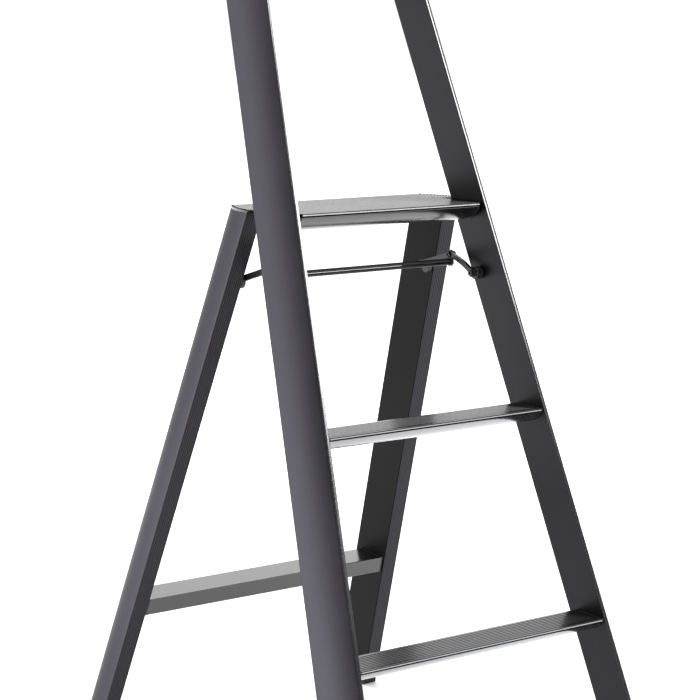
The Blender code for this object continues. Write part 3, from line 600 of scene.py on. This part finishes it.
def soften(cad_node, slot):
    """A copy of a CAD node with rounded edges, standing for it."""
    source = frame["nodes"][cad_node]
    bm = bmesh.new()
    bm.from_mesh(source.data)
    bmesh.ops.remove_doubles(bm, verts=bm.verts, dist=MERGE_DISTANCE)
    bmesh.ops.dissolve_limit(bm, angle_limit=FLAT_ANGLE, verts=bm.verts, edges=bm.edges)
    sharp = [edge for edge in bm.edges if edge.is_manifold and edge.calc_face_angle() > SHARP_ANGLE]
    bmesh.ops.bevel(bm, geom=sharp, offset=SOFT_WIDTH, segments=SOFT_SEGMENTS, profile=0.5,
                    affect="EDGES", clamp_overlap=True)
    for face in bm.faces:
        face.material_index = 0
    body = source["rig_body"]
    return place(f"{cad_node}_soft", bm, [MATERIALS[slot]], body, [cad_node], SOFT_SHARP_ANGLE)


def unit_circle(count):
    angles = [i * math.tau / count for i in range(count)]
    return [(math.cos(angle), math.sin(angle), BODY) for angle in angles]


def round_rings(shape, y, z, profile):
    """Rings about an X axis through (y, z). The profile is a list of (x, radius)."""
    rings = []
    for x, radius in profile:
        rings.append([Vector((x, y + radius * a, z + radius * b)) for a, b, _ in shape])
    return rings


def socket_screw(name, side, y, z, profile, top, reach, body, nodes):
    """A screw about an X axis with a hexagon socket in its head, which faces the middle."""
    shape = unit_circle(SCREW_STEPS)
    rings = round_rings(shape, y, z, profile)
    half = math.pi / SOCKET_SIDES
    for depth in (0, reach):
        ring = []
        for i in range(SCREW_STEPS):
            angle = i * math.tau / SCREW_STEPS
            radius = top * math.cos(half) / math.cos(angle % (2 * half) - half)
            x = profile[-1][0] + side * depth
            ring.append(Vector((x, y + radius * math.cos(angle), z + radius * math.sin(angle))))
        rings.append(ring)
    return loft(name, rings, shape, [MATERIALS["steel"]], body, nodes)


# ---- front frame --------------------------------------------------------------------------------
def build_rails():
    for name, side in SIDES:
        swept = rail_frame(side)
        cuts = level(FOOT_HEIGHT), plane(swept.at(0, 0, level(rail_top())), swept.w)
        extrude(f"rail_{name}_skin", swept, rail_outline(), cuts, EXTRUSION, "front_frame",
                [f"rail_{name}"], [plain(RAIL, RAIL_WALL)])


def ring_at(swept, points, along=0.0):
    start = swept.origin + swept.w * along
    return [start + swept.u * a + swept.v * b for a, b, _ in points]


def corner_rings(frames, outline):
    """Rings round a handrail corner, which is drawn in a little at both ends."""
    tucked = offset(outline, -CORNER_TUCK)
    first, last = frames[0], frames[-1]
    rings = [ring_at(first, tucked, GAP), ring_at(first, outline, GAP + CORNER_TUCK)]
    rings += [ring_at(swept, outline) for swept in frames[1:-1]]
    rings.append(ring_at(last, tucked))
    return rings


def build_handrail():
    outline = rail_outline()
    dark = [(a, b, BODY) for a, b, _ in outline]
    for name, side in SIDES:
        rings = corner_rings(corner_frames(side), dark)
        loft(f"handrail_corner_{name}_skin", rings, dark, [MATERIALS["plastic"]], "front_frame",
             [f"handrail_corner_{name}"])
    last = corner_frames(1)[-1]
    half = last.origin.x - GAP
    cuts = at_x(half), at_x(-half)
    extrude("handrail_bar_skin", last, outline, cuts, EXTRUSION, "front_frame",
            ["handrail_bar"], [plain(RAIL, RAIL_WALL)])


def build_step(node_name, z):
    cuts = [inner_plane(rail_frame(side), 2 * GAP + CAP_PLATE) for _, side in SIDES]
    extrude(f"{node_name}_tread", step_frame(z), step_outline(STEP), cuts, TREADED, "front_frame",
            [node_name], [plain(STEP, STEP_WALL, RAIL_LEAN)])


# A foot from its sole up: how high in millimetres, and how far it stands out round the extrusion
FOOT_PROFILE = ((0, -0.2), (0.6, 0.5), (6.0, 0.5), (7.2, 0.2), (9.6, 0), (10, -0.4), (10.7, -0.4),
                (11.1, 0), (11.7, 0))


def build_foot(node_name, swept, outline, body):
    """A rubber foot: chamfered sole, wider pad, a waist line and the collar under the extrusion."""
    dark = [(a, b, BODY) for a, b, _ in outline]
    rings = []
    for height, grow in FOOT_PROFILE:
        points = offset(dark, grow * MM)
        rings.append([swept.at(a, b, level(height * MM)) for a, b, _ in points])
    loft(f"{node_name}_pad", rings, dark, [MATERIALS["rubber"]], body, [node_name])


# ---- rear frame ---------------------------------------------------------------------------------
def deck_front():
    return FRONT_Y + LEG_FRONT - LEG_LEAN * PLATFORM_TOP


def platform_back():
    return deck_front() + LEG["depth"] / math.cos(math.atan(LEG_LEAN))


def deck_half_width(y):
    """Half the deck's width at y: out to the bowed faces of the legs."""
    swept = leg_frame(1)
    a = min(max((y - deck_front()) * abs(swept.u.y), 0.0), LEG["depth"])
    return inner_x(swept, PLATFORM_TOP) + bow(LEG["depth"] - a, **LEG) + DECK_OVERHANG


def build_platform():
    """The ribbed box between the rails, with its fascia painted lighter as painted reflection, and the
    ribbed plate over the legs.
    """
    swept = step_frame(PLATFORM_TOP)
    nose_y = step_y(PLATFORM_TOP)
    length = platform_back() - nose_y
    whole_ribs = math.floor((deck_front() - nose_y - FIRST_RIB) / RIB_PITCH)
    join = FIRST_RIB + whole_ribs * RIB_PITCH + RIB_TOP + RIB_FLANK
    thick = PLATFORM["thick"]
    foot = PLATFORM["depth"] - RAIL_LEAN * thick
    top = ribs(FIRST_RIB, join + RIB_PITCH)
    last_rib = len(top) - GROOVE_POINTS
    points = nose() + top[:last_rib]
    points += [(join, RIB_DEPTH, BODY), (join, DECK, BODY), (length, DECK, BODY)]
    points += rounded((length, 0), (length, thick), (0, thick), PLATFORM_BACK_ROUND, BODY, BELLY)
    section = dict(PLATFORM, depth=foot)
    points += bowed(foot, NOTCH_START, section, BELLY) + under_nose(BRIGHT)
    cuts = at_x(-PLATFORM_HALF), at_x(PLATFORM_HALF)
    extrude("platform_box", swept, points, cuts, DARK_BELLIED, "rear_frame", ["platform"],
            platform_hollows(length))
    build_deck(nose_y + join)


def platform_hollows(length):
    """The two hollows of the platform's box, either side of its web."""
    foot = PLATFORM["depth"] - RAIL_LEAN * PLATFORM["thick"]
    low = PLATFORM["thick"] - PLATFORM_WALL
    front = [(CAVITY_FRONT, DECK, BODY), (WEB_FRONT, DECK, BODY), (WEB_FRONT, low, BODY)]
    for i in range(HOLLOW_STEPS + 1):
        a = foot + (CAVITY_FRONT - foot) * i / HOLLOW_STEPS
        front.append((a, bow(a, foot, PLATFORM["thin"], PLATFORM["thick"]) - PLATFORM_WALL, BODY))
    start, end = WEB_FRONT + PLATFORM_WALL, length - PLATFORM_WALL
    rear = [(start, DECK, BODY), (end, DECK, BODY), (end, low, BODY), (start, low, BODY)]
    return front, rear


def deck_profile(start, back):
    """The deck's top from front to back, as (y, how far it lies below the ribs' tops)."""
    profile = [(start, RIB_DEPTH)]
    y = start + RIB_PITCH - RIB_TOP - 2 * RIB_FLANK
    while y + RIB_TOP + RIB_FLANK < back:
        rise, fall = y + RIB_FLANK, y + RIB_FLANK + RIB_TOP
        profile += [(y, RIB_DEPTH), (rise, 0), (fall, 0), (fall + RIB_FLANK, RIB_DEPTH)]
        y += RIB_PITCH
    profile = [(y, drop) for y, drop in profile if y <= back - DECK_RIBS_END]
    last = profile[-1][1]
    return profile + [(back - DECK_BEVEL, last), (back, last + DECK_BEVEL)]


def deck_columns(profile, front):
    """The profile with the deck's half width, and with the corners where it widens to the legs."""
    columns = []
    for y, drop in profile:
        half = deck_half_width(y) if y >= front else PLATFORM_HALF
        columns.append((half, y, drop))
    wings = next(i for i, column in enumerate(columns) if column[1] >= front)
    drop = columns[wings][2]
    corners = (PLATFORM_HALF, front - WING_STEP, drop), (deck_half_width(front), front, drop)
    return columns[:wings] + list(corners) + columns[wings:]


def build_deck(start):
    """The plate over the legs: ribs along X that end at its bowed sides in a row of teeth."""
    bm = bmesh.new()
    uv = bm.loops.layers.uv.new("drawn")
    back, front = platform_back(), deck_front()
    low = PLATFORM_TOP - DECK
    rows = []
    for half, y, drop in deck_columns(deck_profile(start, back), front):
        top = PLATFORM_TOP - drop
        corners = (-half, top), (half, top), (half, low), (-half, low)
        rows.append([bm.verts.new((x, y, z)) for x, z in corners])
    for ahead, behind in zip(rows, rows[1:]):
        for i in range(len(ahead)):
            j = (i + 1) % len(ahead)
            face = bm.faces.new((ahead[i], ahead[j], behind[j], behind[i]))
            for loop in face.loops:
                loop[uv].uv = (loop.vert.co.y, loop.vert.co.x)
    bm.faces.new(rows[0])
    bm.faces.new(rows[-1])
    add_teeth(bm, start, front, back)
    place("platform_deck", bm, TREADED, "rear_frame")


def add_teeth(bm, start, front, back):
    """The ribs' ends at the deck's sides, which turn up a little over the legs. They are painted
    near-black, as painted shade.
    """
    y = start + RIB_PITCH - RIB_FLANK - RIB_TOP / 2
    while y + RIB_TOP < back:
        if y - RIB_TOP > front:
            for _, side in SIDES:
                x = side * (deck_half_width(y) - TOOTH_WIDTH)
                add_block(bm, (x, y, PLATFORM_TOP), (TOOTH_WIDTH, RIB_TOP, 2 * TOOTH_RISE), FLAT)
        y += RIB_PITCH


def add_block(bm, centre, size, kind):
    """Add a box, with its faces in one of the finishes."""
    made = bmesh.ops.create_cube(bm, size=1)["verts"]
    for vert in made:
        vert.co = Vector(c + v * s for c, v, s in zip(centre, vert.co, size))
    for face in {face for vert in made for face in vert.link_faces}:
        face.material_index = kind


def build_legs():
    for name, side in SIDES:
        swept = leg_frame(side)
        cuts = level(FOOT_HEIGHT), level(PLATFORM_TOP - DECK - GAP)
        hollow = flipped(plain(LEG, LEG_WALL), LEG["depth"])
        extrude(f"rear_leg_{name}_skin", swept, leg_outline(), cuts, LEGS, "rear_frame",
                [f"rear_leg_{name}"], [hollow])


def build_crossbar():
    cuts = [inner_plane(leg_frame(side), 2 * GAP + CAP_PLATE) for _, side in SIDES]
    extrude("rear_crossbar_tread", crossbar_frame(), step_outline(BAR, BELLY, BODY), cuts, DARK_BELLIED,
            "rear_frame", ["rear_crossbar"], [plain(BAR, STEP_WALL, RAIL_LEAN)])


# ---- stay ---------------------------------------------------------------------------------------
ARM, FRONT_ARM_X = 4.4 * MM, 135.9 * MM
REAR_ARM_X = FRONT_ARM_X + ARM + GAP
STAY_SCREW_REACH = 8 * MM            # past the rail's inner face
ROD_RADIUS, ROD_END_RADIUS, SHANK_RADIUS = 2.2 * MM, 1.5 * MM, 2.7 * MM
HEAD_RADIUS, HEAD_TOP, HEAD_HEIGHT, HEAD_ROUND = 4.3 * MM, 3.6 * MM, 2.2 * MM, 0.8 * MM
SOCKET_RADIUS, SOCKET_DEPTH = 2 * MM, 1.3 * MM


def build_rod(node_name, spot):
    """A rod, with a thinner end in the end plate on each side."""
    shoulder, end = FRONT_ARM_X - GAP, FRONT_ARM_X + ARM
    half = [(end, ROD_END_RADIUS), (shoulder, ROD_END_RADIUS), (shoulder, ROD_RADIUS)]
    profile = [(-x, radius) for x, radius in half] + half[::-1]
    shape = unit_circle(ROD_STEPS)
    rings = round_rings(shape, *spot, profile)
    loft(f"{node_name}_round", rings, shape, [MATERIALS["plastic"]], "front_stay", [node_name])


def build_pivot(node_name, side, spot, head, end, body):
    """A pivot screw of the stay. Its shank runs from head out to end, both measured from the middle."""
    profile = [(end, SHANK_RADIUS), (head, SHANK_RADIUS), (head, HEAD_RADIUS)]
    profile += [(head - HEAD_HEIGHT + HEAD_ROUND, HEAD_RADIUS), (head - HEAD_HEIGHT, HEAD_TOP)]
    profile = [(side * x, radius) for x, radius in profile]
    socket_screw(f"{node_name}_head", side, *spot, profile, SOCKET_RADIUS, SOCKET_DEPTH, body, [node_name])


def build_stay():
    build_rod("stay_upper_rod", UPPER_ROD)
    build_rod("stay_lower_rod", LOWER_ROD)
    front_head, rear_head, arms_out = FRONT_ARM_X - GAP, REAR_ARM_X - GAP, REAR_ARM_X + ARM
    for name, side in SIDES:
        end = inner_x(rail_frame(side), STAY_FRONT[1]) + STAY_SCREW_REACH
        build_pivot(f"stay_screw_{name}", side, STAY_FRONT, front_head, end, "front_frame")
        build_pivot(f"stay_elbow_pin_{name}", side, STAY_ELBOW, front_head, arms_out, "front_stay")
        build_pivot(f"stay_pin_{name}", side, STAY_REAR, rear_head, arms_out, "rear_stay")
        for piece in ("boss", "front_arm", "rear_arm", "bracket"):
            soften(f"stay_{piece}_{name}", "plastic")


# ---- everything else keeps its CAD shape and gets its finish ------------------------------------
NO_LINES = {"anodised": "cast", "tread": "cast"}  # for CAD meshes, which have no UVs for lines


def finish_cad_nodes():
    """Give each CAD node its finish. All names are read before the first one is replaced."""
    slots = {}
    for name, part in frame["nodes"].items():
        slots[name] = part.data.materials[0].name.split(".")[0]
    for name, part in frame["nodes"].items():
        part.data.materials[0] = MATERIALS[NO_LINES.get(slots[name], slots[name])]


# ---- studio -------------------------------------------------------------------------------------
FLOOR_HALF, FLOOR_DROP = 30, 0.2 * MM  # its half width, and how far it lies under the soles
FLOOR_COLOUR, FLOOR_ROUGHNESS = (0.85, 0.85, 0.85, 1), 0.9
WHITE = (1, 1, 1, 1)
# Glows by the distance from the ladder in metres, and by the cosine to the bright wall
FLOOR_GLOW = {"From Min": 0.3, "From Max": 3.0, "To Min": 0.15, "To Max": 1.1}
WALL_GLOW = {"From Min": 0.1, "From Max": 0.75, "To Min": 0.03, "To Max": 1.5}
TO_WALL = (-0.1, 0.99, 0.1)
BACKDROP = 1.05                      # what the camera sees of the world
CAMERA_PLACE = (-1.4712, -2.1464, 1.0211)
CAMERA_FORWARD = (0.55421, 0.81598, -0.16441)
CAMERA_LENS, CAMERA_SENSOR = 103.376, 36


def smooth_glow(tree, value, limits):
    """A value spread smoothly over the limits of a glow."""
    glow = node(tree, "ShaderNodeMapRange", interpolation_type="SMOOTHSTEP")
    for name, limit in limits.items():
        glow.inputs[name].default_value = limit
    tree.links.new(value, glow.inputs["Value"])
    return glow.outputs["Result"]


def build_floor():
    """A pale floor that glows more the farther it is, as one that's lit evenly all over."""
    bm = bmesh.new()
    bmesh.ops.create_grid(bm, x_segments=1, y_segments=1, size=FLOOR_HALF)
    mesh = bpy.data.meshes.new("floor")
    bm.to_mesh(mesh)
    bm.free()
    floor = bpy.data.objects.new("floor", mesh)
    floor.location.z = -FLOOR_DROP
    bpy.context.scene.collection.objects.link(floor)
    paint = bpy.data.materials.new("floor_paint")
    paint.use_nodes = True
    tree = paint.node_tree
    shader = tree.nodes["Principled BSDF"]
    shader.inputs["Base Color"].default_value = FLOOR_COLOUR
    shader.inputs["Roughness"].default_value = FLOOR_ROUGHNESS
    shader.inputs["Emission Color"].default_value = WHITE
    distance = node(tree, "ShaderNodeVectorMath", operation="LENGTH")
    tree.links.new(node(tree, "ShaderNodeTexCoord").outputs["Object"], distance.inputs[0])
    glow = smooth_glow(tree, distance.outputs["Value"], FLOOR_GLOW)
    tree.links.new(glow, shader.inputs["Emission Strength"])
    mesh.materials.append(paint)


def build_world():
    """White to the camera. In reflections it's a bright wall behind and a dim room in front."""
    world = bpy.data.worlds.new("studio")
    world.use_nodes = True
    bpy.context.scene.world = world
    tree = world.node_tree
    background = tree.nodes["Background"]
    direction = node(tree, "ShaderNodeTexCoord").outputs["Generated"]
    facing = node(tree, "ShaderNodeVectorMath", operation="DOT_PRODUCT")
    facing.inputs[1].default_value = Vector(TO_WALL).normalized()
    tree.links.new(direction, facing.inputs[0])
    glow = smooth_glow(tree, facing.outputs["Value"], WALL_GLOW)
    seen = node(tree, "ShaderNodeMix", data_type="FLOAT")
    seen.inputs[FLOAT_B].default_value = BACKDROP
    tree.links.new(node(tree, "ShaderNodeLightPath").outputs["Is Camera Ray"], seen.inputs["Factor"])
    tree.links.new(glow, seen.inputs[FLOAT_A])
    tree.links.new(seen.outputs[FLOAT_OUT], background.inputs["Strength"])
    background.inputs["Color"].default_value = WHITE


def area_light(name, location, target, size, power):
    light = bpy.data.lights.new(name, "AREA")
    light.shape = "RECTANGLE"
    light.size, light.size_y = size
    light.energy = power
    lamp = bpy.data.objects.new(name, light)
    lamp.location = location
    lamp.rotation_euler = (Vector(target) - Vector(location)).to_track_quat("-Z", "Y").to_euler()
    lamp.visible_camera = False
    bpy.context.scene.collection.objects.link(lamp)


def build_lights():
    """Lights by location, target and size in metres, and power in watts."""
    area_light("overhead", (0, 0.3, 3.2), (0, 0.3, 0), (4.5, 4.5), 230)
    area_light("front_softbox", (1.6, -2.3, 2.5), (0, 0, 0.9), (1.5, 1.2), 13)


def build_camera():
    camera = bpy.data.cameras.new("camera")
    camera.lens = CAMERA_LENS
    camera.sensor_width = CAMERA_SENSOR
    camera.sensor_fit = "HORIZONTAL"
    eye = bpy.data.objects.new("camera", camera)
    eye.location = CAMERA_PLACE
    eye.rotation_mode = "QUATERNION"
    eye.rotation_quaternion = Vector(CAMERA_FORWARD).to_track_quat("-Z", "Y")
    bpy.context.scene.collection.objects.link(eye)
    bpy.context.scene.camera = eye


# ---- build --------------------------------------------------------------------------------------
finish_cad_nodes()
build_rails()
build_handrail()
build_step("step_lower", STEP_RISE)
build_step("step_middle", 2 * STEP_RISE)
build_platform()
build_legs()
build_crossbar()
for label, way in SIDES:
    build_foot(f"front_foot_{label}", rail_frame(way), rail_outline(), "front_frame")
    build_foot(f"rear_foot_{label}", leg_frame(way), leg_outline(), "rear_frame")
build_stay()
build_floor()
build_world()
build_lights()
build_camera()
bpy.context.scene.view_settings.view_transform = "Standard"
